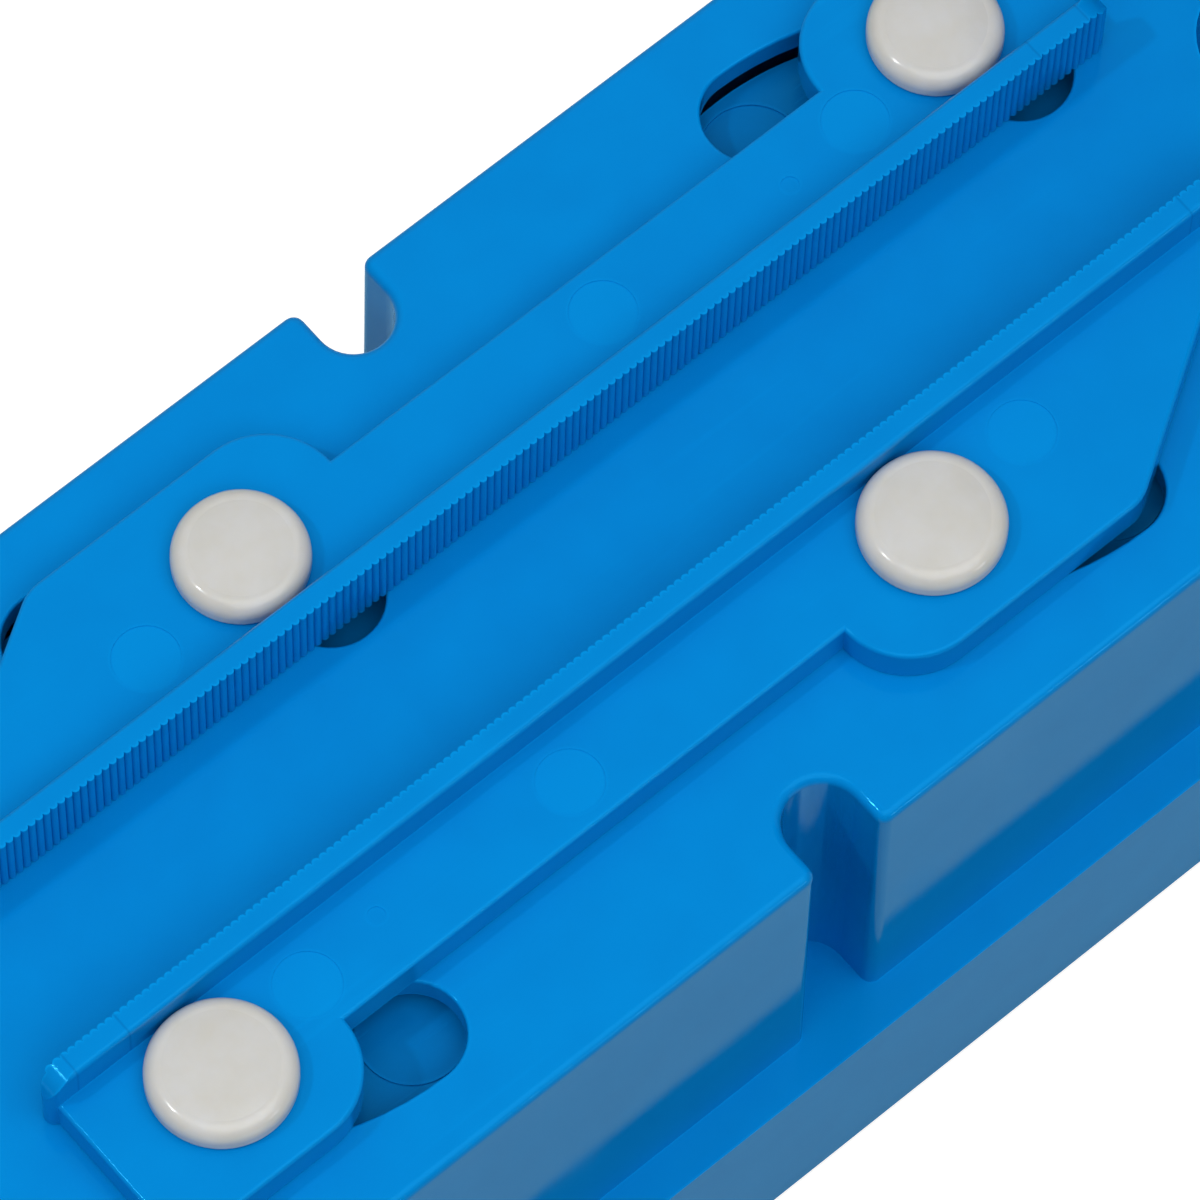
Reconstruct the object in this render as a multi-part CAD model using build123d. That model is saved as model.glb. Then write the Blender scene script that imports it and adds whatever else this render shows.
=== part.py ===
from build123d import *
import math
import os

# Pill splitter. A row of tablets lies on the deck of a tall hollow block, between two
# ribbed guides. Each guide is riveted to two round rotors under the deck, one rivet through
# each of four arc slots, so that turning the rotors opens or closes both guides evenly
# about the centre line. A deep lid, hinged at the right-hand end, carries the blade.
# Millimetres. X runs along the row, Y across it, Z up. The origin is on the surface that
# the feet stand on, under the middle of the block.

# ---- base ----
block_length = 134.0
wall_height = 25.5
skirt_height = 15.0
step_width = 2.8
wall_thickness = 2.2
deck_thickness = 1.95
wall_draft = 0.3
skirt_draft = 0.15
block_corner_radius = 5.0
deck_edge_radius = 0.65
deck_border = 4.5
foot_proud = 1.0

# ---- notches at the middle of the long sides ----
notch_width = 5.16
notch_depth = 5.1
notch_mouth_radius = 0.8

# ---- rotors and the slots above them ----
pivot_spacing = 56.0
rivet_circle_radius = 16.85
rest_angle = 48.5
closed_angle = 29.5
open_angle = 90.0
slot_width = 6.7
slot_edge_radius = 0.2
rotor_rim = 0.05
rotor_thickness = 2.0
rotor_gap = 1.05
rotor_hub_radius = 6.0
rotor_hub_height = 4.8
rivet_boss_radius = 3.1
pivot_post_radius = 3.0
rotor_axial_play = 0.2
rotor_mark_radius = 3.47
rotor_mark_line = 0.15
rotor_mark_depth = 0.15
rotor_mark_circle_radius = 15.9
rotor_mark_angle = 44.5

# ---- guides ----
guide_length = 96.6
guide_end_inset = 0.5
channel_half_width = 6.34
rail_height = 5.6
rail_thickness = 1.5
plate_thickness = 2.82
strip_beyond_rivet = 1.78
tab_beyond_rivet = 6.88
rib_pitch = 0.57
rib_depth = 0.26
rib_margin = 0.1
guide_edge_radius = 0.3
rail_edge_radius = 0.35
rail_nose_length = 2.1
guide_corner_radius = 3.0
mark_diameter = 4.35
mark_depth = 0.06
mark_line = 11.33
mark_places = (-31.48, -10.95, 25.34)
gate_mark_radius = 0.6
gate_mark_x = -25.47
gate_mark_line = 10.56
end_tab_side = 8.0
middle_tab_before = 8.55
middle_tab_after = 11.2
bevel_angle = 31.0
guide_lift = 0.1

# ---- rivets ----
rivet_shank_radius = 2.0
rivet_head_thickness = 2.3
rivet_dome_rise = 0.35
rivet_head_edge_radius = 0.3
near_head_diameter = 9.35
far_head_diameter = 8.65
rivet_shoulder_radius = 1.1
rivet_barb_radius = 2.6
rivet_tip_radius = 1.4
rivet_barb_length = 3.4
rivet_slit = 0.8

# ---- fits ----
running_clearance = 0.05
screw_clearance = 0.02
plate_clearance = 0.25

# ---- round wells near both ends of the deck ----
well_gap = 2.2
well_radius = 5.0
well_depth = 9.0
well_wall = 1.5

# ---- bottom plate, its screws and the feet ----
bottom_thickness = 2.0
bottom_lip = 2.4
tower_radius = 4.0
post_before_well = 9.7
corner_post_y = 17.0
corner_post_radius = 3.2
screw_radius = 1.45
screw_head_radius = 2.8
screw_head_height = 1.7
screw_length = 10.0
screw_recess_width = 0.45
screw_recess_share = 0.62
screw_head_round_share = 0.45
screw_ground_gap = 0.3
screw_end_gap = 1.0
foot_radius = 4.5
foot_edge_radius = 0.35
foot_plug_length = 2.2
foot_x = 60.0
foot_y = 17.0

# ---- rotor fastenings ----
washer_radius = 6.5
washer_thickness = 0.8

# ---- lid ----
lid_clearance = 0.5
lid_wall = 2.2
lid_roof = 2.4
lid_headroom = 15.5
lid_rim_gap = 0.4
lid_edge_radius = 4.5
lid_open_angle = 105.0
lid_rib_width = 2.2
lid_rib_gap = 1.0
grip_groove_count = 9
grip_groove_pitch = 5.0
grip_groove_width = 1.6
grip_groove_depth = 0.6
grip_groove_length = 34.0

# ---- hinge ----
hinge_radius = 3.2
hinge_pin_radius = 1.5
hinge_gap = 0.3
knuckle_length = 23.0
lug_width = 6.0
shelf_width = 40.0
shelf_margin = 1.0
end_wall_below_axis = 2.0
knuckle_clearance = 0.1
pin_head_radius = 2.4
pin_head_thickness = 1.2

# ---- blade ----
blade_thickness = 0.6
blade_height = 14.0
blade_length = 98.0
blade_edge_gap = 0.6
blade_bevel = 3.0
blade_edge_width = 0.04
clamp_thickness = 3.0
clamp_margin = 2.0
clamp_above_deck = 8.0
clamp_corner_radius = 1.0
blade_screw_count = 4
blade_screw_spacing = 28.0
blade_screw_radius = 1.2
blade_screw_head_radius = 2.1
blade_screw_head_height = 1.3
blade_screw_bite = 2.4

# ---- how far joined shapes run into each other, and how close counts as the same place ----
overlap = 0.5
tolerance = 0.1

# ---- heights and places that follow from the values above ----
step_z = foot_proud + skirt_height
deck_z = step_z + wall_height
deck_under_z = deck_z - deck_thickness
rotor_top_z = deck_under_z - rotor_gap
rotor_hub_top_z = deck_under_z - rotor_axial_play
rotor_hub_bottom_z = rotor_hub_top_z - rotor_hub_height
post_end_z = rotor_hub_bottom_z - rotor_axial_play
guide_bottom_z = deck_z + guide_lift
plate_top_z = deck_z + plate_thickness
rail_top_z = deck_z + rail_height
rotor_radius = rivet_circle_radius + rivet_boss_radius + rotor_rim
block_width = 2 * (rivet_circle_radius + slot_width / 2 + deck_border)
well_offset = pivot_spacing / 2 + rotor_radius + well_gap + well_wall + well_radius
corner_post_x = well_offset - post_before_well
block_end_x = block_length / 2
skirt_length = block_length + 2 * (wall_draft + step_width)
skirt_width = block_width + 2 * (wall_draft + step_width)
rest_reach_x = rivet_circle_radius * math.cos(math.radians(rest_angle))
rest_reach_y = rivet_circle_radius * math.sin(math.radians(rest_angle))
strip_edge = rest_reach_y + strip_beyond_rivet
tab_edge = rest_reach_y + tab_beyond_rivet
lid_inner_length = block_length + 2 * (wall_draft + lid_clearance)
lid_inner_width = block_width + 2 * (wall_draft + lid_clearance)
lid_rim_z = step_z + lid_rim_gap
lid_ceiling_z = deck_z + lid_headroom
lid_top_z = lid_ceiling_z + lid_roof
hinge_x = lid_inner_length / 2 + lid_wall + hinge_gap + hinge_radius
hinge_z = step_z + wall_height / 2
shelf_end_x = hinge_x + hinge_radius + shelf_margin
bottom_top_z = foot_proud + bottom_lip


def moved(shape, x=0.0, y=0.0, z=0.0):
    """The shape, shifted."""
    return Pos(x, y, z) * shape


def cylinder_up(radius, bottom, top, x=0.0, y=0.0):
    """An upright cylinder from one height to another."""
    body = Cylinder(radius, top - bottom, align=(Align.CENTER, Align.CENTER, Align.MIN))
    return moved(body, x, y, bottom)


def box_between(low, high):
    """A box from its lowest corner to its highest."""
    size = [b - a for a, b in zip(low, high)]
    return moved(Box(*size, align=(Align.MIN, Align.MIN, Align.MIN)), *low)


def tapered_block(length, width, radius, height, draft):
    """A round-cornered block whose sides lean in by the draft over its height."""
    outline = RectangleRounded(length + 2 * draft, width + 2 * draft, radius)
    return extrude(outline, height, taper=math.degrees(math.atan2(draft, height)))


def turned(shape):
    """The same shape half a turn on about the middle of the block."""
    return Rot(0, 0, 180) * shape


def arc_slot(side_x, start_angle, end_angle, width):
    """The outline of a slot along the rivet circle of the rotor at side_x."""
    def point(angle, radius):
        return (radius * math.cos(math.radians(angle)), radius * math.sin(math.radians(angle)))
    outer = rivet_circle_radius + width / 2
    inner = rivet_circle_radius - width / 2
    middle = (start_angle + end_angle) / 2
    first_cap = start_angle - math.degrees(width / 2 / rivet_circle_radius)
    last_cap = end_angle + math.degrees(width / 2 / rivet_circle_radius)
    edges = [
        ThreePointArc(point(start_angle, outer), point(middle, outer), point(end_angle, outer)),
        ThreePointArc(point(end_angle, outer), point(last_cap, rivet_circle_radius),
                      point(end_angle, inner)),
        ThreePointArc(point(end_angle, inner), point(middle, inner), point(start_angle, inner)),
        ThreePointArc(point(start_angle, inner), point(first_cap, rivet_circle_radius),
                      point(start_angle, outer)),
    ]
    return Pos(side_x, 0, 0) * make_face(edges)


def notch_tool(extra, bottom, top):
    """A U-shaped bar, grown by extra all round, that fills the notch on the near side."""
    half = notch_width / 2 + extra
    inner_y = -block_width / 2 + notch_depth + extra
    outer_y = -block_width / 2 - wall_draft - step_width
    bar = box_between((-half, outer_y, bottom), (half, inner_y - half, top))
    return bar + cylinder_up(half, bottom, top, 0, inner_y - half)


def base_outside():
    """The block, its notches, the skirt and the hinge shelf, all solid."""
    block = moved(tapered_block(block_length, block_width, block_corner_radius,
                                wall_height, wall_draft), z=step_z)
    cut = notch_tool(0, step_z, deck_z + overlap)
    block = block - cut - turned(cut)
    mouths = [e for e in block.edges().filter_by(GeomType.LINE)
              if abs(e.center().X) < notch_width and abs(e.center().Y) > block_width / 2 - notch_mouth_radius
              and e.bounding_box().size.Z > wall_height / 2]
    block = fillet(mouths, notch_mouth_radius)
    rim = block.faces().sort_by(Axis.Z)[-1].outer_wire().edges()
    block = fillet(rim, deck_edge_radius)
    skirt = tapered_block(skirt_length, skirt_width, block_corner_radius + step_width,
                          skirt_height, skirt_draft)
    shelf = box_between((block_end_x, -shelf_width / 2, 0),
                        (shelf_end_x, shelf_width / 2, skirt_height))
    corners = shelf.edges().filter_by(Axis.Z).group_by(Axis.X)[-1]
    shelf = fillet(corners, step_width)
    return block + moved(skirt + shelf, z=foot_proud)


def base_hollow():
    """What is taken out of the base from below."""
    inside = block_length - 2 * wall_thickness
    across = block_width - 2 * wall_thickness
    low_z = step_z - wall_thickness
    upper = moved(tapered_block(inside, across, block_corner_radius - wall_thickness,
                                deck_under_z - low_z, wall_draft), z=low_z)
    grown = notch_tool(wall_thickness, low_z, deck_z)
    upper = upper - grown - turned(grown)
    lower_height = skirt_height - wall_thickness
    lower = tapered_block(skirt_length - 2 * wall_thickness, skirt_width - 2 * wall_thickness,
                          block_corner_radius, lower_height, skirt_draft)
    under_shelf = box_between((0, wall_thickness - shelf_width / 2, 0),
                              (shelf_end_x - wall_thickness, shelf_width / 2 - wall_thickness,
                               lower_height))
    return upper + moved(lower + under_shelf, z=foot_proud)


def hinge_lug(side):
    """A lug that holds the hinge pin, with a sloping shoulder that stops the open lid."""
    middle_y = side * (knuckle_length / 2 + hinge_gap + lug_width / 2)
    lean = math.radians(lid_open_angle - 90)
    back = hinge_radius + shelf_margin
    foot = step_z - wall_thickness - hinge_z
    profile = Polyline((-hinge_radius, foot), (back, foot),
                       (back, (hinge_radius - back * math.sin(lean)) / math.cos(lean)),
                       (hinge_radius * math.sin(lean), hinge_radius * math.cos(lean)),
                       (-hinge_radius, 0), (-hinge_radius, foot))
    stem = extrude(Plane.XZ * make_face(profile), lug_width / 2, both=True)
    eye = Rot(90, 0, 0) * Cylinder(hinge_radius, lug_width)
    return moved(stem + eye, hinge_x, middle_y, hinge_z)


def pin_bar(radius, length):
    """A bar on the hinge axis."""
    return Pos(hinge_x, 0, hinge_z) * Rot(90, 0, 0) * Cylinder(radius, length)


def each_corner(x, y):
    """Four places, one in each quarter of the base."""
    return [(sx * x, sy * y) for sx in (-1, 1) for sy in (-1, 1)]


def foot_places():
    """Where the feet stand: one in each quarter and one under the middle."""
    return each_corner(foot_x, foot_y) + [(0, 0)]


def near_a_slot(edge):
    """Whether an edge of the deck belongs to one of the arc slots."""
    point = edge.position_at(0.5)
    reach = min(math.hypot(point.X - x, point.Y) for x in (-pivot_spacing / 2, pivot_spacing / 2))
    return reach < rivet_circle_radius + slot_width


def make_base_shell():
    """The moulded base: deck, walls, skirt, posts, wells and hinge lugs."""
    shell = base_outside() - base_hollow()
    for x, y in each_corner(corner_post_x, corner_post_y):
        shell += cylinder_up(corner_post_radius, bottom_top_z, deck_under_z + overlap, x, y)
        shell -= cylinder_up(screw_radius + screw_clearance, bottom_top_z,
                             bottom_top_z + screw_length, x, y)
    for x in (-well_offset, well_offset):
        floor_z = deck_z - well_depth
        shell += cylinder_up(well_radius + well_wall, floor_z - well_wall, deck_under_z + overlap, x)
        shell -= cylinder_up(well_radius, floor_z, deck_z, x)
        shell -= cylinder_up(screw_radius + screw_clearance, floor_z - well_wall, floor_z, x)
    for x in (-pivot_spacing / 2, pivot_spacing / 2):
        shell += cylinder_up(pivot_post_radius, post_end_z, deck_under_z + overlap, x)
        shell -= cylinder_up(screw_radius + screw_clearance, post_end_z, deck_under_z, x)
    for side in (-1, 1):
        shell += hinge_lug(side)
    shell -= pin_bar(hinge_pin_radius + screw_clearance, shelf_width)
    for x in (-pivot_spacing / 2, pivot_spacing / 2):
        for turn in (0, 180):
            outline = arc_slot(0, closed_angle, open_angle, slot_width)
            cut = moved(extrude(outline, deck_thickness + 2 * overlap), z=deck_under_z - overlap)
            shell -= moved(Rot(0, 0, turn) * cut, x)
    slot_rims = [e for e in shell.edges() if abs(e.center().Z - deck_z) < tolerance
                 and e.geom_type == GeomType.CIRCLE and near_a_slot(e)]
    return fillet(slot_rims, slot_edge_radius)


def make_rotor(side_x):
    """A round disc on its post, with a boss for each of its two rivets."""
    bottom = rotor_top_z - rotor_thickness
    rotor = cylinder_up(rotor_radius, bottom, rotor_top_z)
    rotor += cylinder_up(rotor_hub_radius, rotor_hub_bottom_z, rotor_hub_top_z)
    ring = Cylinder(rotor_mark_radius, 2 * rotor_mark_depth)
    ring -= Cylinder(rotor_mark_radius - rotor_mark_line, 2 * rotor_mark_depth)
    for angle in (rest_angle, rest_angle + 180):
        x = rivet_circle_radius * math.cos(math.radians(angle))
        y = rivet_circle_radius * math.sin(math.radians(angle))
        rotor += cylinder_up(rivet_boss_radius, bottom, deck_z - guide_lift, x, y)
        rotor -= cylinder_up(rivet_shank_radius + running_clearance, bottom, deck_z, x, y)
        turn = math.radians(angle + rotor_mark_angle)
        rotor += moved(ring, rotor_mark_circle_radius * math.cos(turn),
                       rotor_mark_circle_radius * math.sin(turn), rotor_top_z)
    rotor -= cylinder_up(pivot_post_radius + running_clearance, post_end_z, deck_z)
    return moved(rotor, side_x)


def ribbed_line(start, end, line):
    """The edge of a ribbed face: a run of round ribs that meet in sharp valleys."""
    valley = line - rib_depth / 2
    count = round((end - start) / rib_pitch)
    pitch = (end - start) / count
    ribs = []
    for i in range(count):
        x = start + i * pitch
        ribs.append(ThreePointArc((x, valley), (x + pitch / 2, valley + rib_depth),
                                  (x + pitch, valley)))
    return ribs


def guide_plate():
    """The flat plate of the near guide, with a tab round each rivet."""
    left = guide_end_inset - guide_length / 2
    end_rivet = -pivot_spacing / 2 - rest_reach_x
    middle_rivet = pivot_spacing / 2 - rest_reach_x
    corner = tab_edge - strip_edge
    end_side = end_rivet + end_tab_side
    mid_side = middle_rivet - middle_tab_before
    bevel_start = middle_rivet + middle_tab_after
    root_y = -channel_half_width - rail_thickness / 2
    bevel_run = (tab_edge + root_y) / math.tan(math.radians(bevel_angle))
    bevel_end = min(bevel_start + bevel_run, -left)
    soft = guide_corner_radius
    outline = make_face([
        Line((left, root_y), (left, -tab_edge + soft)),
        CenterArc((left + soft, -tab_edge + soft), soft, 180, 90),
        Line((left + soft, -tab_edge), (end_side - corner, -tab_edge)),
        CenterArc((end_side - corner, -strip_edge), corner, -90, 90),
        Line((end_side, -strip_edge), (mid_side, -strip_edge)),
        CenterArc((mid_side + corner, -strip_edge), corner, 180, 90),
        Line((mid_side + corner, -tab_edge), (bevel_start, -tab_edge)),
        Line((bevel_start, -tab_edge), (bevel_end, root_y)),
        Line((bevel_end, root_y), (left, root_y)),
    ])
    plate = moved(extrude(outline, plate_top_z - guide_bottom_z), z=guide_bottom_z)
    elbow = [e for e in plate.edges().filter_by(Axis.Z)
             if abs(e.center().X - bevel_start) < tolerance
             and abs(e.center().Y + tab_edge) < tolerance]
    plate = fillet(elbow, soft)
    top = plate.faces().sort_by(Axis.Z)[-1].edges()
    outer = [e for e in top if e.center().Y < root_y - tolerance]
    return fillet(outer, guide_edge_radius)


def rail_side_view(height):
    """What the rail fills seen from the side: a long block with a rounded nose at each end."""
    half = guide_length / 2
    nose = rail_nose_length
    profile = make_face([
        Polyline((-half, height - nose), (-half, 0), (half, 0), (half, height - nose)),
        CenterArc((half - nose, height - nose), nose, 0, 90),
        Line((half - nose, height), (nose - half, height)),
        CenterArc((nose - half, height - nose), nose, 90, 90),
    ])
    return extrude(Plane.XZ * profile, channel_half_width, both=True)


def guide_rail():
    """The raised rail of the near guide: a soft-edged bar, ribbed towards the channel."""
    height = rail_top_z - guide_bottom_z
    valley = -channel_half_width - rib_depth / 2
    thickness = rail_thickness - rib_depth / 2
    bar = extrude(SlotOverall(guide_length, thickness), height)
    bar = fillet(bar.faces().sort_by(Axis.Z)[-1].edges(), rail_edge_radius)
    reach = guide_length / 2 - thickness / 2 - rib_margin
    inner = valley - thickness / 2
    outline = make_face([
        *ribbed_line(-reach, reach, -channel_half_width),
        Polyline((reach, valley), (reach, inner), (-reach, inner), (-reach, valley)),
    ])
    rail = moved(bar, y=valley - thickness / 2) + extrude(outline, height)
    rail = rail & moved(rail_side_view(height), y=-channel_half_width)
    return moved(rail, z=guide_bottom_z)


def make_near_guide():
    """The near guide at rest: plate, rail, rivet holes and shallow round ejector marks."""
    guide = guide_plate() + guide_rail()
    for side_x in (-pivot_spacing / 2, pivot_spacing / 2):
        guide -= cylinder_up(rivet_shank_radius + running_clearance, guide_bottom_z, rail_top_z,
                             side_x - rest_reach_x, -rest_reach_y)
    for x in mark_places:
        guide -= cylinder_up(mark_diameter / 2, plate_top_z - mark_depth, rail_top_z, x, -mark_line)
    guide -= cylinder_up(gate_mark_radius, plate_top_z - mark_depth, rail_top_z,
                         gate_mark_x, -gate_mark_line)
    return guide


def make_rivet(x, y, head_diameter):
    """A snap rivet: a low domed head, a plain shank and a slit barbed end."""
    barb_z = rotor_top_z - rotor_thickness - rotor_axial_play
    flat_z = plate_top_z + rivet_head_thickness - rivet_dome_rise
    flat_radius = head_diameter / 2 - rivet_shoulder_radius
    head = cylinder_up(head_diameter / 2, plate_top_z, flat_z)
    head = fillet(head.faces().sort_by(Axis.Z)[-1].edges(), rivet_shoulder_radius)
    head = fillet(head.faces().sort_by(Axis.Z)[0].edges(), rivet_head_edge_radius)
    dome_radius = (flat_radius ** 2 + rivet_dome_rise ** 2) / (2 * rivet_dome_rise)
    dome = moved(Sphere(dome_radius), z=flat_z + rivet_dome_rise - dome_radius)
    head += dome & cylinder_up(flat_radius, flat_z, flat_z + rivet_head_thickness)
    shank = cylinder_up(rivet_shank_radius, barb_z - overlap, plate_top_z)
    cone = Cone(rivet_tip_radius, rivet_barb_radius, rivet_barb_length,
                align=(Align.CENTER, Align.CENTER, Align.MAX))
    rivet = head + shank + moved(cone, z=barb_z)
    slit = box_between((-rivet_barb_radius, -rivet_slit / 2, barb_z - rivet_barb_length - overlap),
                       (rivet_barb_radius, rivet_slit / 2, rotor_top_z - rotor_thickness))
    return moved(rivet - slit, x, y)


def make_screw(length, radius, head_radius, head_height):
    """A pan-head screw that points up, its seat at the origin and its head below."""
    shank = cylinder_up(radius, 0, length)
    head = cylinder_up(head_radius, -head_height, 0)
    head = fillet(head.faces().sort_by(Axis.Z)[0].edges(), head_height * screw_head_round_share)
    reach = 2 * head_radius * screw_recess_share
    recess = Box(reach, screw_recess_width, head_height)
    recess += Box(screw_recess_width, reach, head_height)
    return shank + head - moved(recess, z=-head_height)


def make_bottom_plate():
    """The plate that closes the base, with towers under the well screws."""
    inner_length = skirt_length - 2 * wall_thickness - 2 * plate_clearance
    inner_width = skirt_width - 2 * wall_thickness - 2 * plate_clearance
    low_z = bottom_top_z - bottom_thickness
    outline = RectangleRounded(inner_length, inner_width, block_corner_radius - plate_clearance)
    plate = moved(extrude(outline, bottom_thickness), z=low_z)
    for x, y in each_corner(corner_post_x, corner_post_y):
        plate -= cylinder_up(screw_radius + screw_clearance, low_z, bottom_top_z, x, y)
    for x, y in foot_places():
        plate -= cylinder_up(foot_radius / 2 + screw_clearance, low_z, bottom_top_z, x, y)
    for x in (-well_offset, well_offset):
        top = deck_z - well_depth - well_wall
        plate += cylinder_up(tower_radius, low_z, top, x)
        plate -= cylinder_up(screw_radius + screw_clearance, top - screw_length, top, x)
    return plate


def make_bottom_screws():
    """Four screws through the bottom plate into the corner posts."""
    low_z = bottom_top_z - bottom_thickness
    screw = make_screw(screw_length, screw_radius, screw_head_radius,
                       low_z - screw_ground_gap)
    return [moved(screw, x, y, low_z) for x, y in each_corner(corner_post_x, corner_post_y)]


def make_well_screws():
    """One screw on the floor of each well, down into the bottom plate's towers."""
    floor_z = deck_z - well_depth
    screw = Rot(180, 0, 0) * make_screw(screw_length, screw_radius, screw_head_radius,
                                        screw_head_height)
    return [moved(screw, x, 0, floor_z) for x in (-well_offset, well_offset)]


def make_foot(x, y):
    """A rubber foot, its plug pushed through the bottom plate."""
    low_z = bottom_top_z - bottom_thickness
    pad = cylinder_up(foot_radius, 0, low_z)
    pad = fillet(pad.faces().sort_by(Axis.Z)[0].edges(), foot_edge_radius)
    plug = cylinder_up(foot_radius / 2, low_z, low_z + foot_plug_length)
    return moved(pad + plug, x, y)


def make_rotor_screw(side_x):
    """The screw that holds the washer against the end of the rotor's post."""
    length = deck_under_z - post_end_z - screw_end_gap + washer_thickness
    screw = make_screw(length, screw_radius, screw_head_radius, screw_head_height)
    return moved(screw, side_x, 0, post_end_z - washer_thickness)


def make_washer(side_x):
    """The washer that the rotor's hub rides above."""
    low_z = post_end_z - washer_thickness
    washer = cylinder_up(washer_radius, low_z, post_end_z)
    return moved(washer - cylinder_up(screw_radius + screw_clearance, low_z, post_end_z), side_x)


def opened(shape):
    """A lid piece, swung from closed to its rest place, fully open."""
    swing = Pos(hinge_x, 0, hinge_z) * Rot(0, lid_open_angle, 0) * Pos(-hinge_x, 0, -hinge_z)
    return swing * shape


def lid_guide_rib():
    """The rib inside the near wall of the lid that drops into the notch."""
    half = lid_rib_width / 2
    tip_y = -block_width / 2 + notch_depth - lid_rib_gap
    bar = box_between((-half, -lid_inner_width / 2 - overlap, lid_rim_z + lid_rib_gap),
                      (half, tip_y - half, lid_ceiling_z + overlap))
    tip = cylinder_up(half, lid_rim_z + lid_rib_gap, lid_ceiling_z + overlap, 0, tip_y - half)
    return bar + tip


def lid_knuckle():
    """The barrel on the lid and its web to the end wall."""
    half = knuckle_length / 2
    barrel = pin_bar(hinge_radius, knuckle_length)
    web = box_between((hinge_x - hinge_radius - hinge_gap - overlap, -half,
                       hinge_z - end_wall_below_axis),
                      (hinge_x, half, hinge_z + hinge_radius))
    return barrel + web


def make_lid_shell():
    """The deep lid, open at its rim, with the blade's seat under its roof."""
    height = lid_top_z - lid_rim_z
    outline = RectangleRounded(lid_inner_length + 2 * lid_wall, lid_inner_width + 2 * lid_wall,
                               block_corner_radius + lid_wall)
    outside = extrude(outline, height)
    roof_rim = outside.faces().sort_by(Axis.Z)[-1].edges()
    outside = moved(fillet(roof_rim, lid_edge_radius), z=lid_rim_z)
    inside = RectangleRounded(lid_inner_length, lid_inner_width, block_corner_radius)
    shell = outside - moved(extrude(inside, lid_ceiling_z - lid_rim_z), z=lid_rim_z)
    relief = box_between((block_end_x - block_corner_radius, -skirt_width, 0),
                         (hinge_x, skirt_width, hinge_z - end_wall_below_axis))
    shell = shell - relief + lid_knuckle()
    shell += lid_guide_rib() + turned(lid_guide_rib())
    seat_half = blade_length / 2 + clamp_margin
    shell += box_between((-seat_half, blade_thickness / 2, deck_z + clamp_above_deck),
                         (seat_half, blade_thickness / 2 + clamp_thickness, lid_ceiling_z + overlap))
    for x in blade_screw_places():
        shell -= across_bar(blade_screw_radius + screw_clearance, 0,
                            blade_thickness / 2 + clamp_thickness, x)
    shell -= pin_bar(hinge_pin_radius + knuckle_clearance, knuckle_length)
    groove = Box(grip_groove_length, grip_groove_width, 2 * grip_groove_depth)
    for i in range(grip_groove_count):
        offset = (i - (grip_groove_count - 1) / 2) * grip_groove_pitch
        shell -= moved(Rot(0, 0, 90) * groove, offset, 0, lid_top_z)
    return opened(shell)


def blade_screw_places():
    """Where the blade screws stand along the blade."""
    first = -(blade_screw_count - 1) / 2 * blade_screw_spacing
    return [first + i * blade_screw_spacing for i in range(blade_screw_count)]


def across_bar(radius, start_y, end_y, x):
    """A bar across the blade at screw height, from one y to another."""
    z = (deck_z + clamp_above_deck + lid_ceiling_z) / 2
    return Pos(x, (start_y + end_y) / 2, z) * Rot(90, 0, 0) * Cylinder(radius, end_y - start_y)


def make_blade():
    """A straight steel blade, ground on both sides to a line."""
    top = deck_z + blade_edge_gap + blade_height
    edge = deck_z + blade_edge_gap
    half = blade_thickness / 2
    tip = blade_edge_width / 2
    section = Polyline((-half, top), (half, top), (half, edge + blade_bevel), (tip, edge),
                       (-tip, edge), (-half, edge + blade_bevel), (-half, top))
    face = Plane.YZ * make_face(section)
    blade = moved(extrude(face, blade_length), -blade_length / 2)
    for x in blade_screw_places():
        blade -= across_bar(blade_screw_radius + screw_clearance, -half, half, x)
    return opened(blade)


def make_blade_clamp():
    """The bar that clamps the blade against its seat."""
    seat_half = blade_length / 2 + clamp_margin
    low = -blade_thickness / 2 - clamp_thickness
    clamp = box_between((-seat_half, low, deck_z + clamp_above_deck),
                        (seat_half, -blade_thickness / 2, lid_ceiling_z - screw_clearance))
    ends = clamp.edges().filter_by(Axis.Y).group_by(Axis.Z)[0]
    clamp = fillet(ends, clamp_corner_radius)
    for x in blade_screw_places():
        clamp -= across_bar(blade_screw_radius + screw_clearance, low, -blade_thickness / 2, x)
    return opened(clamp)


def make_blade_screws():
    """The row of screws through the clamp and the blade into the seat."""
    length = clamp_thickness + blade_thickness + blade_screw_bite
    seat_y = -blade_thickness / 2 - clamp_thickness
    z = (deck_z + clamp_above_deck + lid_ceiling_z) / 2
    screw = Rot(-90, 0, 0) * make_screw(length, blade_screw_radius, blade_screw_head_radius,
                                        blade_screw_head_height)
    return [opened(moved(screw, x, seat_y, z)) for x in blade_screw_places()]


def make_hinge_pin():
    """The steel pin through both lugs and the lid's barrel, with a head at each end."""
    length = knuckle_length + 2 * (hinge_gap + lug_width)
    pin = pin_bar(hinge_pin_radius, length)
    for side in (-1, 1):
        head = Rot(90, 0, 0) * Cylinder(pin_head_radius, pin_head_thickness)
        pin += Pos(hinge_x, side * (length + pin_head_thickness) / 2, hinge_z) * head
    return pin


def save(name, shape):
    """Write one sub-part, or a group of like pieces, to its own file."""
    if isinstance(shape, list):
        shape = Compound(children=shape)
    export_step(shape, f"parts/{name}.step")


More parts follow.
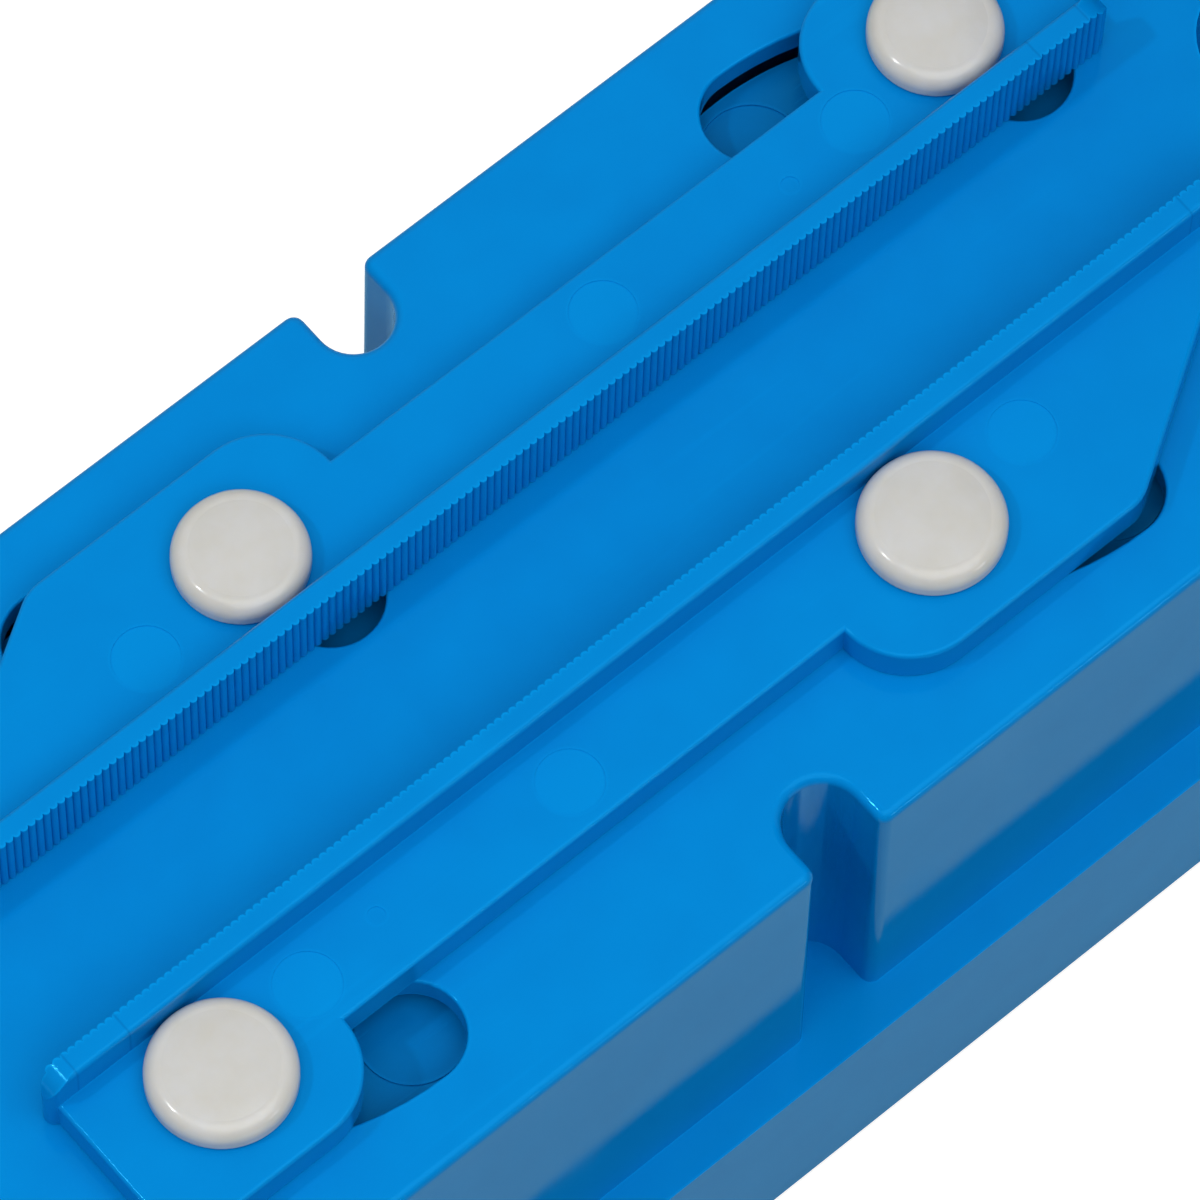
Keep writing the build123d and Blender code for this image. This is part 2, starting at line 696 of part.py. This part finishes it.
os.makedirs("parts", exist_ok=True)
near_guide = make_near_guide()
save("base_shell", make_base_shell())
save("bottom_plate", make_bottom_plate())
save("bottom_plate_screws", make_bottom_screws())
save("well_screws", make_well_screws())
for row, y in (("near", -foot_y), ("far", foot_y)):
    for column, x in (("left", -foot_x), ("right", foot_x)):
        save(f"foot_{row}_{column}", make_foot(x, y))
save("foot_middle", make_foot(0, 0))
for column, side in (("left", -1), ("right", 1)):
    pivot_x = side * pivot_spacing / 2
    save(f"rotor_{column}", make_rotor(pivot_x))
    save(f"rotor_screw_{column}", make_rotor_screw(pivot_x))
    save(f"rotor_washer_{column}", make_washer(pivot_x))
    near_x = pivot_x - rest_reach_x
    far_x = pivot_x + rest_reach_x
    save(f"rivet_near_{column}", make_rivet(near_x, -rest_reach_y, near_head_diameter))
    save(f"rivet_far_{column}", make_rivet(far_x, rest_reach_y, far_head_diameter))
save("guide_near", near_guide)
save("guide_far", turned(near_guide))
save("lid_shell", make_lid_shell())
save("blade", make_blade())
save("blade_clamp", make_blade_clamp())
save("blade_screws", make_blade_screws())
save("hinge_pin", make_hinge_pin())
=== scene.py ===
import bpy
import math
from mathutils import Matrix, Vector


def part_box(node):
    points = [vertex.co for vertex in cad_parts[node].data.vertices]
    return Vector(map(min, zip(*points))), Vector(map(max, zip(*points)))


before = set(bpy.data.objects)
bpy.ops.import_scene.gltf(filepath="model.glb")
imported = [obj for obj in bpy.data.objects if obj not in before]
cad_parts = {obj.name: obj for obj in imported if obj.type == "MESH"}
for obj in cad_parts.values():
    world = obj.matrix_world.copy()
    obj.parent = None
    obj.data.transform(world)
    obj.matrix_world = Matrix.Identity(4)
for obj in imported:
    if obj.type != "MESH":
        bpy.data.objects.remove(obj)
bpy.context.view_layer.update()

MM = 0.001

# Base shell: the tall hollow block with its deck, notches, wells, step and skirt.
# Injection-moulded in bright blue plastic, with a glossy and very slightly rippled face.
# It carries everything else in the splitter.

BLUE = (0.0, 0.228, 0.630, 1.0)
# Paler blue for rubbed wear and scratches, and also the painted highlight on outside edges.
BLUE_WORN_AND_HIGHLIGHT = (0.0, 0.290, 0.740, 1.0)
BLUE_DEEP = (0.0, 0.212, 0.600, 1.0)
BLUE_REFLECTION = (0.05, 0.6, 1.0, 1.0)
PLASTIC_SPECULAR = 0.4
RIPPLE_SHARE = 0.55
EDGE_WIDTH = 0.35 * MM
HOLLOW_REACH = 0.6 * MM
EDGE_SAMPLES = 4
SCRATCH_DIRECTIONS = ((0.35, 0.03), (-0.9, 0.05))
SCRATCH_PALING = 0.25
SCRATCH_DULLING = 0.25
SCRATCH_DEPTH = 0.3
DRAW_LINE_STRETCH = 0.02
DRAW_LINE_DEPTH = 0.8
STANDING_FACE_LIMIT = 0.3


def new_group(name, inputs, outputs):
    """An empty shader node group with named value inputs and named outputs."""
    group = bpy.data.node_groups.new(name, "ShaderNodeTree")
    for label, kind, value in inputs:
        socket = group.interface.new_socket(label, in_out="INPUT", socket_type=kind)
        socket.default_value = value
    for label, kind in outputs:
        group.interface.new_socket(label, in_out="OUTPUT", socket_type=kind)
    return group, group.nodes.new("NodeGroupInput"), group.nodes.new("NodeGroupOutput")


def feed(tree, socket, value):
    """Links a socket to another one, or sets it to a plain value."""
    if isinstance(value, bpy.types.NodeSocket):
        tree.links.new(value, socket)
    else:
        socket.default_value = value


def maths(tree, operation, first, second=None, clamp=False):
    """A Math node fed by sockets or plain numbers. Returns its output socket."""
    node = tree.nodes.new("ShaderNodeMath")
    node.operation = operation
    node.use_clamp = clamp
    feed(tree, node.inputs[0], first)
    if second is not None:
        feed(tree, node.inputs[1], second)
    return node.outputs[0]


def ramp(tree, value, start, gain):
    """How far a value is past a start, times a gain, held between 0 and 1."""
    return maths(tree, "MULTIPLY", maths(tree, "SUBTRACT", value, start), gain, clamp=True)


def plus_share(tree, start, extra, share, clamp=False):
    """A start with a share of something else added to it."""
    return maths(tree, "ADD", start, maths(tree, "MULTIPLY", extra, share), clamp=clamp)


def largest(tree, values):
    """The largest of several sockets."""
    result = values[0]
    for value in values[1:]:
        result = maths(tree, "MAXIMUM", result, value)
    return result


def noise(tree, vector, scale, detail, roughness):
    """A Noise Texture's value over a vector, with sockets or plain numbers."""
    node = tree.nodes.new("ShaderNodeTexNoise")
    tree.links.new(vector, node.inputs["Vector"])
    for label, value in (("Scale", scale), ("Detail", detail), ("Roughness", roughness)):
        feed(tree, node.inputs[label], value)
    return node.outputs[0]


def stretched(tree, vector, scale, rotation=(0.0, 0.0, 0.0)):
    """A vector that is turned and scaled, so noise over it runs out into lines."""
    node = tree.nodes.new("ShaderNodeMapping")
    node.inputs["Rotation"].default_value = rotation
    node.inputs["Scale"].default_value = scale
    tree.links.new(vector, node.inputs["Vector"])
    return node.outputs["Vector"]


def object_position(tree):
    """The point on the piece, which stays with it as it moves."""
    return tree.nodes.new("ShaderNodeTexCoord").outputs["Object"]


def build_moulding_grain():
    """Fine grain over a slow ripple, as a moulded face has it."""
    group, given, out = new_group(
        "moulding grain",
        [("Grain per metre", "NodeSocketFloat", 5200.0),
         ("Ripple per metre", "NodeSocketFloat", 240.0),
         ("Ripple share", "NodeSocketFloat", RIPPLE_SHARE)],
        [("Height", "NodeSocketFloat"), ("Mottle", "NodeSocketFloat")])
    place = object_position(group)
    grain = noise(group, place, given.outputs["Grain per metre"], detail=3.0, roughness=0.6)
    ripple = noise(group, place, given.outputs["Ripple per metre"], detail=2.0, roughness=0.45)
    ripple_share = given.outputs["Ripple share"]
    fine = maths(group, "MULTIPLY", grain, maths(group, "SUBTRACT", 1.0, ripple_share))
    height = plus_share(group, fine, ripple, ripple_share)
    group.links.new(height, out.inputs["Height"])
    group.links.new(ripple, out.inputs["Mottle"])
    return group


def build_edge_wear_and_highlight():
    """A mask along outside edges, where the plastic is thinnest and gets rubbed, and where a
    painted highlight is laid.
    """
    group, given, out = new_group(
        "edge wear and painted highlight",
        [("Width in metres", "NodeSocketFloat", EDGE_WIDTH),
         ("Strength", "NodeSocketFloat", 6.0)],
        [("Mask", "NodeSocketFloat")])
    bevel = group.nodes.new("ShaderNodeBevel")
    bevel.samples = EDGE_SAMPLES
    group.links.new(given.outputs["Width in metres"], bevel.inputs["Radius"])
    facing = group.nodes.new("ShaderNodeNewGeometry")
    dot = group.nodes.new("ShaderNodeVectorMath")
    dot.operation = "DOT_PRODUCT"
    group.links.new(bevel.outputs["Normal"], dot.inputs[0])
    group.links.new(facing.outputs["Normal"], dot.inputs[1])
    bend = maths(group, "SUBTRACT", 1.0, dot.outputs["Value"])
    hollow = group.nodes.new("ShaderNodeAmbientOcclusion")
    hollow.inputs["Distance"].default_value = HOLLOW_REACH
    hollow.samples = EDGE_SAMPLES
    outside = maths(group, "POWER", hollow.outputs["AO"], 3.0)
    mask = maths(group, "MULTIPLY", maths(group, "MULTIPLY", bend, outside),
                 given.outputs["Strength"], clamp=True)
    group.links.new(mask, out.inputs["Mask"])
    return group


def build_handling_scratches():
    """Hair-fine scratches in two directions, with gaps, from handling and wiping."""
    group, given, out = new_group(
        "handling scratches",
        [("Scratches per metre", "NodeSocketFloat", 900.0),
         ("Amount", "NodeSocketFloat", 0.5)],
        [("Mask", "NodeSocketFloat")])
    place = object_position(group)
    patches = noise(group, place, scale=60.0, detail=2.0, roughness=0.5)
    scratches = []
    for angle, stretch in SCRATCH_DIRECTIONS:
        along = stretched(group, place, (stretch, 1.0, stretch), rotation=(0.0, 0.0, angle))
        lines = noise(group, along, given.outputs["Scratches per metre"], detail=2.0,
                      roughness=0.5)
        scratches.append(ramp(group, lines, start=0.64, gain=16.0))
    gaps = ramp(group, patches, start=0.45, gain=5.0)
    mask = maths(group, "MULTIPLY",
                 maths(group, "MULTIPLY", largest(group, scratches), gaps),
                 given.outputs["Amount"])
    group.links.new(mask, out.inputs["Mask"])
    return group


def build_draw_lines():
    """Fine upright lines on standing faces, left as the piece is drawn from its mould."""
    group, given, out = new_group(
        "draw lines",
        [("Lines per metre", "NodeSocketFloat", 1400.0)],
        [("Height", "NodeSocketFloat")])
    faces = group.nodes.new("ShaderNodeTexCoord")
    upright = stretched(group, faces.outputs["Object"], (1.0, 1.0, DRAW_LINE_STRETCH))
    lines = noise(group, upright, given.outputs["Lines per metre"], detail=3.0, roughness=0.6)
    normal = group.nodes.new("ShaderNodeSeparateXYZ")
    group.links.new(faces.outputs["Normal"], normal.inputs[0])
    standing = maths(group, "LESS_THAN", maths(group, "ABSOLUTE", normal.outputs["Z"]),
                     STANDING_FACE_LIMIT)
    group.links.new(maths(group, "MULTIPLY", lines, standing), out.inputs["Height"])
    return group


moulding_grain = build_moulding_grain()
edge_wear_and_highlight = build_edge_wear_and_highlight()
handling_scratches = build_handling_scratches()
draw_lines = build_draw_lines()


def place_group(tree, group, values=()):
    """The group as a node in a material, with its own values where they are given."""
    node = tree.nodes.new("ShaderNodeGroup")
    node.node_tree = group
    for label, value in values:
        node.inputs[label].default_value = value
    return node


def blend_colour(tree, mask, first, second):
    """Two colours mixed by a mask. Each may be a colour or a socket."""
    node = tree.nodes.new("ShaderNodeMix")
    node.data_type = "RGBA"
    tree.links.new(mask, node.inputs["Factor"])
    first_colour, second_colour, result = node.inputs[6], node.inputs[7], node.outputs[2]
    feed(tree, first_colour, first)
    feed(tree, second_colour, second)
    return result


def new_material(name):
    """A material with only a Principled shader and its output."""
    material = bpy.data.materials.new(name)
    material.use_nodes = True
    return material, material.node_tree, material.node_tree.nodes["Principled BSDF"]


def bumped(tree, shader, height, strength, distance):
    """Puts a height on the shader's Normal through a Bump node."""
    bump = tree.nodes.new("ShaderNodeBump")
    bump.inputs["Strength"].default_value = strength
    bump.inputs["Distance"].default_value = distance
    tree.links.new(height, bump.inputs["Height"])
    tree.links.new(bump.outputs["Normal"], shader.inputs["Normal"])


def add_height(material, extra, share):
    """Adds a further height to what a material's Bump node already has."""
    tree = material.node_tree
    bump = next(node for node in tree.nodes if node.type == "BUMP")
    before = bump.inputs["Height"].links[0].from_socket
    tree.links.new(plus_share(tree, before, extra, share), bump.inputs["Height"])


def moulded_plastic(name, colour, deep, worn_and_highlight, gloss, spread=0.05, scratches=0.5):
    """Glossy moulded plastic: slow colour mottle, fine scratches, and pale edges that are
    rubbed wear and a painted highlight.
    """
    material, tree, shader = new_material(name)
    grain = place_group(tree, moulding_grain)
    edge = place_group(tree, edge_wear_and_highlight)
    scratch = place_group(tree, handling_scratches, [("Amount", scratches)])
    ripple, scratched = grain.outputs["Mottle"], scratch.outputs["Mask"]
    base = blend_colour(tree, ramp(tree, ripple, start=0.3, gain=2.0), deep, colour)
    # Outside edges take the paler blue: partly rubbed wear, partly a painted highlight where
    # rounded edges catch light.
    base = blend_colour(tree, edge.outputs["Mask"], base, worn_and_highlight)
    paling = maths(tree, "MULTIPLY", scratched, SCRATCH_PALING)
    tree.links.new(blend_colour(tree, paling, base, worn_and_highlight), shader.inputs["Base Color"])
    rough = plus_share(tree, gloss, ripple, spread)
    rough = plus_share(tree, rough, scratched, SCRATCH_DULLING, clamp=True)
    tree.links.new(rough, shader.inputs["Roughness"])
    shader.inputs["Specular IOR Level"].default_value = PLASTIC_SPECULAR
    shader.inputs["Specular Tint"].default_value = BLUE_REFLECTION
    height = maths(tree, "SUBTRACT", grain.outputs["Height"],
                   maths(tree, "MULTIPLY", scratched, SCRATCH_DEPTH))
    bumped(tree, shader, height, strength=0.05, distance=0.2 * MM)
    return material


def dress(names, material):
    """Gives the named nodes of the frame their material, in the slots they have."""
    for name in names:
        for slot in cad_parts[name].material_slots:
            slot.material = material


body_blue = moulded_plastic("blue moulded body", BLUE, BLUE_DEEP, BLUE_WORN_AND_HIGHLIGHT, gloss=0.01,
                            spread=0.04)
streaks = place_group(body_blue.node_tree, draw_lines)
add_height(body_blue, streaks.outputs["Height"], DRAW_LINE_DEPTH)
dress(["base_shell"], body_blue)

# Bottom plate: a flat moulded plate that closes the base, with a tower under each well.
# Four screws hold it to posts inside the base, and five feet plug into it.

PLATE_SHADE = (0.0, 0.16, 0.48, 1.0)

plate_blue = moulded_plastic("blue moulded plate", BLUE_DEEP, PLATE_SHADE, BLUE_WORN_AND_HIGHLIGHT,
                             gloss=0.25, scratches=0.9)
dress(["bottom_plate"], plate_blue)

# Screws: zinc-plated pan heads with a cross recess, turned and rolled from steel wire.
# They hold the bottom plate, the wells, the rotors and the blade.

STAIN_DULLING = 0.18
METAL_SCRATCH_DULLING = 0.3


def turned_metal(name, colour, tint, gloss, lines_per_metre, line_depth):
    """Bright metal with fine tool lines, small stains and light scratches."""
    material, tree, shader = new_material(name)
    place = object_position(tree)
    stains = noise(tree, place, scale=900.0, detail=3.0, roughness=0.6)
    spots = ramp(tree, stains, start=0.45, gain=3.0)
    tree.links.new(blend_colour(tree, spots, colour, tint), shader.inputs["Base Color"])
    lines = noise(tree, place, lines_per_metre, detail=2.0, roughness=0.55)
    scratch = place_group(tree, handling_scratches, [("Scratches per metre", 2500.0)])
    rough = plus_share(tree, gloss, spots, STAIN_DULLING)
    rough = plus_share(tree, rough, scratch.outputs["Mask"], METAL_SCRATCH_DULLING, clamp=True)
    tree.links.new(rough, shader.inputs["Roughness"])
    shader.inputs["Metallic"].default_value = 1.0
    bumped(tree, shader, lines, strength=0.25, distance=line_depth)
    return material


zinc = turned_metal("zinc-plated steel", colour=(0.62, 0.63, 0.63, 1.0),
                    tint=(0.50, 0.49, 0.44, 1.0), gloss=0.28, lines_per_metre=6000.0,
                    line_depth=0.03 * MM)
dress(["bottom_plate_screws", "well_screws", "rotor_screw_left", "rotor_screw_right",
       "blade_screws"], zinc)

# Rotor washers: plain stamped steel washers that hold each rotor up on its post.
# The rotors' hubs turn against them, so their faces are rubbed bright.

washer_steel = turned_metal("stamped washer steel", colour=(0.58, 0.58, 0.58, 1.0),
                            tint=(0.42, 0.41, 0.38, 1.0), gloss=0.35, lines_per_metre=4000.0,
                            line_depth=0.04 * MM)
dress(["rotor_washer_left", "rotor_washer_right"], washer_steel)

# Feet: black rubber pads with a plug that is pushed through the bottom plate.
# They keep the block from sliding while the lid is pressed down.

RUBBER_BLACK = (0.018, 0.018, 0.018, 1.0)
RUBBER_BLOOM = (0.055, 0.055, 0.052, 1.0)
RUBBER_ROUGHNESS = 0.62
BLOOM_DULLING = 0.25

rubber, tree, shader = new_material("black foot rubber")
place = object_position(tree)
bloom = noise(tree, place, scale=700.0, detail=4.0, roughness=0.65)
tree.links.new(blend_colour(tree, bloom, RUBBER_BLACK, RUBBER_BLOOM),
               shader.inputs["Base Color"])
tree.links.new(plus_share(tree, RUBBER_ROUGHNESS, bloom, BLOOM_DULLING),
               shader.inputs["Roughness"])
pores = noise(tree, place, scale=5000.0, detail=3.0, roughness=0.6)
bumped(tree, shader, pores, strength=0.4, distance=0.08 * MM)
dress(["foot_near_left", "foot_near_right", "foot_far_left", "foot_far_right",
       "foot_middle"], rubber)

# Rotors: two round discs that turn on posts under the deck and hold both guides parallel.
# They are moulded in the same blue, and mostly lie in the deck's shade, which is painted into
# their darker blue here.

# Both rotor blues are darker than the body's: painted shade from the deck above.
ROTOR_BLUE_WITH_PAINTED_SHADE = (0.0, 0.170, 0.485, 1.0)
ROTOR_SHADE = (0.0, 0.155, 0.45, 1.0)

rotor_blue_with_painted_shade = moulded_plastic("blue moulded rotor with painted shade", ROTOR_BLUE_WITH_PAINTED_SHADE, ROTOR_SHADE, BLUE_DEEP,
                             gloss=0.2)
dress(["rotor_left", "rotor_right"], rotor_blue_with_painted_shade)

# Guides: two ribbed blue plates that close on the tablets from both sides.
# Each is moulded in one piece, and the mould leaves faint parting lines across its rail
# and three round ejector marks on its plate.

PARTING_LINE_PLACES = (42.2 * MM, 46.2 * MM)
PARTING_LINE_WIDTH = 0.12 * MM
PARTING_LINE_BLUE = (0.0, 0.120, 0.400, 1.0)
PARTING_LINE_SHARE = 0.5
PLATE_TOP_ABOVE_DECK = 2.9 * MM
EJECTOR_MARK_PLACES = (-31.48 * MM, -10.95 * MM, 25.34 * MM)
EJECTOR_MARK_LINE = -11.33 * MM
EJECTOR_MARK_RADIUS = 2.17 * MM
EJECTOR_MARK_RIM = 0.12 * MM
EJECTOR_MARK_BLUE = (0.0, 0.260, 0.680, 1.0)
EJECTOR_MARK_SHARE = 0.5

deck_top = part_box("base_shell")[1].z
guide_blue = moulded_plastic("blue moulded guide", BLUE, BLUE_DEEP, BLUE_WORN_AND_HIGHLIGHT, gloss=0.10)
tree = guide_blue.node_tree
axes = tree.nodes.new("ShaderNodeSeparateXYZ")
tree.links.new(object_position(tree), axes.inputs[0])

from_centre = maths(tree, "ABSOLUTE", axes.outputs["X"])
parting_lines = []
for line_place in PARTING_LINE_PLACES:
    away = maths(tree, "ABSOLUTE", maths(tree, "SUBTRACT", from_centre, line_place))
    parting_lines.append(maths(tree, "SUBTRACT", 1.0,
                               maths(tree, "DIVIDE", away, PARTING_LINE_WIDTH), clamp=True))
on_rail = maths(tree, "GREATER_THAN", axes.outputs["Z"], deck_top + PLATE_TOP_ABOVE_DECK)
on_line = maths(tree, "MULTIPLY", largest(tree, parting_lines), on_rail)

# The far guide is the near one turned half round, so its marks are found the same way.
side = maths(tree, "MULTIPLY", maths(tree, "SIGN", axes.outputs["Y"]), -1.0)
mark_x = maths(tree, "MULTIPLY", axes.outputs["X"], side)
mark_y = maths(tree, "SUBTRACT", maths(tree, "MULTIPLY", axes.outputs["Y"], side),
               EJECTOR_MARK_LINE)
marks = []
for mark_place in EJECTOR_MARK_PLACES:
    across_mark = maths(tree, "POWER", maths(tree, "SUBTRACT", mark_x, mark_place), 2.0)
    from_middle = maths(tree, "SQRT", maths(tree, "ADD", across_mark,
                                            maths(tree, "POWER", mark_y, 2.0)))
    marks.append(maths(tree, "SUBTRACT", EJECTOR_MARK_RADIUS, from_middle))
on_mark = maths(tree, "DIVIDE", largest(tree, marks), EJECTOR_MARK_RIM, clamp=True)
mark_share = maths(tree, "MULTIPLY", on_mark, EJECTOR_MARK_SHARE)

base_colour = tree.nodes["Principled BSDF"].inputs["Base Color"]
marked = blend_colour(tree, mark_share, base_colour.links[0].from_socket, EJECTOR_MARK_BLUE)
line_share = maths(tree, "MULTIPLY", on_line, PARTING_LINE_SHARE)
tree.links.new(blend_colour(tree, line_share, marked, PARTING_LINE_BLUE), base_colour)
add_height(guide_blue, maths(tree, "ADD", on_line, mark_share), share=-1.0)
dress(["guide_near", "guide_far"], guide_blue)

# Rivets: snap rivets of off-white nylon, pushed through each guide into a rotor.
# Light gets a little way into them, so their heads look soft and milky.

NYLON_WARM = (0.565, 0.555, 0.515, 1.0)
NYLON_PALE = (0.595, 0.595, 0.585, 1.0)
NYLON_ROUGHNESS = 0.13
CLOUD_DULLING = 0.06

nylon, tree, shader = new_material("milky nylon")
place = object_position(tree)
cloud = ramp(tree, noise(tree, place, scale=420.0, detail=3.0, roughness=0.55),
             start=0.3, gain=2.2)
tree.links.new(blend_colour(tree, cloud, NYLON_WARM, NYLON_PALE), shader.inputs["Base Color"])
tree.links.new(plus_share(tree, NYLON_ROUGHNESS, cloud, CLOUD_DULLING),
               shader.inputs["Roughness"])
shader.inputs["Subsurface Weight"].default_value = 0.55
shader.inputs["Subsurface Radius"].default_value = (1.0, 0.85, 0.65)
shader.inputs["Subsurface Scale"].default_value = 1.6 * MM
shader.inputs["Specular IOR Level"].default_value = 0.5
bumped(tree, shader, noise(tree, place, scale=900.0, detail=3.0, roughness=0.5),
       strength=0.10, distance=0.12 * MM)
dress(["rivet_near_left", "rivet_near_right", "rivet_far_left", "rivet_far_right"], nylon)

# Lid: a deep blue cover that drops over the block and pushes the blade down.
# It is moulded in one piece with its hinge barrel, blade seat and two guide ribs.

lid_blue = moulded_plastic("blue moulded lid", BLUE, BLUE_DEEP, BLUE_WORN_AND_HIGHLIGHT, gloss=0.14,
                           scratches=0.7)
dress(["lid_shell"], lid_blue)

# Blade: a straight strip of stainless steel, ground on both sides to a line.
# Its faces are brushed lengthwise, and it leans back with the open lid.

BLADE_LEAN = math.radians(15.0)
BRUSHING_STRETCH = 0.02
STEEL_STAINED = (0.56, 0.56, 0.57, 1.0)
STEEL_CLEAN = (0.70, 0.70, 0.71, 1.0)
STEEL_ROUGHNESS = 0.16
BRUSHING_DULLING = 0.22

blade_steel, tree, shader = new_material("ground stainless steel")
place = object_position(tree)
lengthwise = stretched(tree, place, (1.0, 1.0, BRUSHING_STRETCH),
                       rotation=(0.0, BLADE_LEAN, 0.0))
brushing = noise(tree, lengthwise, scale=9000.0, detail=3.0, roughness=0.6)
stain = noise(tree, place, scale=160.0, detail=3.0, roughness=0.55)
tree.links.new(blend_colour(tree, stain, STEEL_STAINED, STEEL_CLEAN),
               shader.inputs["Base Color"])
tree.links.new(plus_share(tree, STEEL_ROUGHNESS, brushing, BRUSHING_DULLING),
               shader.inputs["Roughness"])
shader.inputs["Metallic"].default_value = 1.0
shader.inputs["Anisotropic"].default_value = 0.4
bumped(tree, shader, brushing, strength=0.3, distance=0.02 * MM)
dress(["blade"], blade_steel)

# Blade clamp: a moulded blue bar that holds the blade against the lid's seat.
# Four screws go through it and the blade into the seat.

clamp_blue = moulded_plastic("blue moulded clamp", BLUE_DEEP, PLATE_SHADE, BLUE_WORN_AND_HIGHLIGHT,
                             gloss=0.22)
dress(["blade_clamp"], clamp_blue)

# Hinge pin: a drawn steel rod with a head at each end, through both of the base's lugs.
# The lid's barrel turns on it.

pin_steel = turned_metal("drawn pin steel", colour=(0.60, 0.60, 0.61, 1.0),
                         tint=(0.46, 0.45, 0.43, 1.0), gloss=0.24, lines_per_metre=7000.0,
                         line_depth=0.02 * MM)
dress(["hinge_pin"], pin_steel)

# Table: the splitter stands on a plain white table, which the camera sees evenly bright.
# To everything else the table is a matt card, which gives the blue walls their reflection;
# that card is tinted blue in glossy rays, a painted reflection colour.

TABLE_HALF = 1.6
TABLE_GREY = (0.5, 0.5, 0.5, 1.0)
TABLE_GLOW = 0.72
CARD_COLOUR = (0.08, 0.09, 0.09, 1.0)
# Seen only in reflections: a blue tint, a painted reflection colour for the walls.
CARD_IN_REFLECTIONS = (0.31, 0.60, 0.75, 1.0)

corners = [(-TABLE_HALF, -TABLE_HALF, 0.0), (TABLE_HALF, -TABLE_HALF, 0.0),
           (TABLE_HALF, TABLE_HALF, 0.0), (-TABLE_HALF, TABLE_HALF, 0.0)]
floor_mesh = bpy.data.meshes.new("floor")
floor_mesh.from_pydata(corners, [], [(0, 1, 2, 3)])
floor = bpy.data.objects.new("floor", floor_mesh)
bpy.context.scene.collection.objects.link(floor)
floor_white, tree, shader = new_material("white table")
shader.inputs["Base Color"].default_value = TABLE_GREY
shader.inputs["Roughness"].default_value = 0.7
shader.inputs["Specular IOR Level"].default_value = 0.1
shader.inputs["Emission Color"].default_value = (1.0, 1.0, 1.0, 1.0)
shader.inputs["Emission Strength"].default_value = TABLE_GLOW
ray = tree.nodes.new("ShaderNodeLightPath")
card = tree.nodes.new("ShaderNodeBsdfDiffuse")
tree.links.new(blend_colour(tree, ray.outputs["Is Glossy Ray"], CARD_COLOUR,
                            CARD_IN_REFLECTIONS), card.inputs["Color"])
either = tree.nodes.new("ShaderNodeMixShader")
tree.links.new(ray.outputs["Is Camera Ray"], either.inputs["Fac"])
tree.links.new(card.outputs["BSDF"], either.inputs[1])
tree.links.new(shader.outputs["BSDF"], either.inputs[2])
tree.links.new(either.outputs["Shader"], tree.nodes["Material Output"].inputs["Surface"])
floor_mesh.materials.append(floor_white)

# Light: a white room that gets brighter towards its ceiling, with three soft lights.
# A large one hangs above and in front, a small bright one high at the left gives the rivets
# their highlights, and a low one at the front right lights the standing walls.

SKY_LOW = 0.07
SKY_RISE = 0.82

world = bpy.data.worlds.new("soft room")
bpy.context.scene.world = world
world.use_nodes = True
tree = world.node_tree
sky = tree.nodes["Background"]
sky.inputs["Color"].default_value = (1.0, 1.0, 1.0, 1.0)
heights = tree.nodes.new("ShaderNodeSeparateXYZ")
tree.links.new(tree.nodes.new("ShaderNodeTexCoord").outputs["Generated"], heights.inputs[0])
rise = maths(tree, "MAXIMUM", heights.outputs["Z"], 0.0)
tree.links.new(plus_share(tree, SKY_LOW, rise, SKY_RISE), sky.inputs["Strength"])


def soft_light(name, place, aim, size, watts):
    """A rectangular soft light that faces a point."""
    data = bpy.data.lights.new(name, "AREA")
    data.shape = "RECTANGLE"
    data.size, data.size_y = size
    data.energy = watts
    light = bpy.data.objects.new(name, data)
    bpy.context.scene.collection.objects.link(light)
    light.location = place
    light.rotation_mode = "QUATERNION"
    light.rotation_quaternion = (Vector(aim) - Vector(place)).to_track_quat("-Z", "Y")


deck_middle = (0.0, 0.0, deck_top)
soft_light("overhead light", place=(-0.10, -0.45, 1.00), aim=deck_middle, size=(1.2, 1.0),
           watts=5.8)
soft_light("left light", place=(-0.59, 0.28, 1.00), aim=deck_middle, size=(0.06, 0.06),
           watts=2.0)
soft_light("front right light", place=(0.35, -1.00, 0.30), aim=deck_middle,
           size=(0.25, 0.10), watts=0.6)

# Camera: a long lens that looks steeply down on the middle of the deck.
# It stands at the front left and is rolled a little to one side.

AZIMUTH = math.radians(-42.53)
ELEVATION = math.radians(65.64)
ROLL = math.radians(2.36)
DISTANCE = 621.0 * MM
TARGET = Vector((-0.926 * MM, -2.409 * MM, deck_top))
LENS = 305.49
SENSOR_WIDTH = 36.0
NEAREST = 0.01
FARTHEST = 20.0

across = Vector((math.cos(AZIMUTH), math.sin(AZIMUTH), 0.0))
back = Vector((math.sin(AZIMUTH) * math.cos(ELEVATION),
               -math.cos(AZIMUTH) * math.cos(ELEVATION), math.sin(ELEVATION)))
upward = back.cross(across)
right = math.cos(ROLL) * across + math.sin(ROLL) * upward
top = -math.sin(ROLL) * across + math.cos(ROLL) * upward
camera_data = bpy.data.cameras.new("camera")
camera_data.lens = LENS
camera_data.sensor_width = SENSOR_WIDTH
camera_data.clip_start = NEAREST
camera_data.clip_end = FARTHEST
camera = bpy.data.objects.new("camera", camera_data)
bpy.context.scene.collection.objects.link(camera)
facing = Matrix((right, top, back)).transposed()
camera.matrix_world = Matrix.Translation(TARGET + DISTANCE * back) @ facing.to_4x4()
bpy.context.scene.camera = camera
bpy.context.scene.view_settings.view_transform = "Standard"
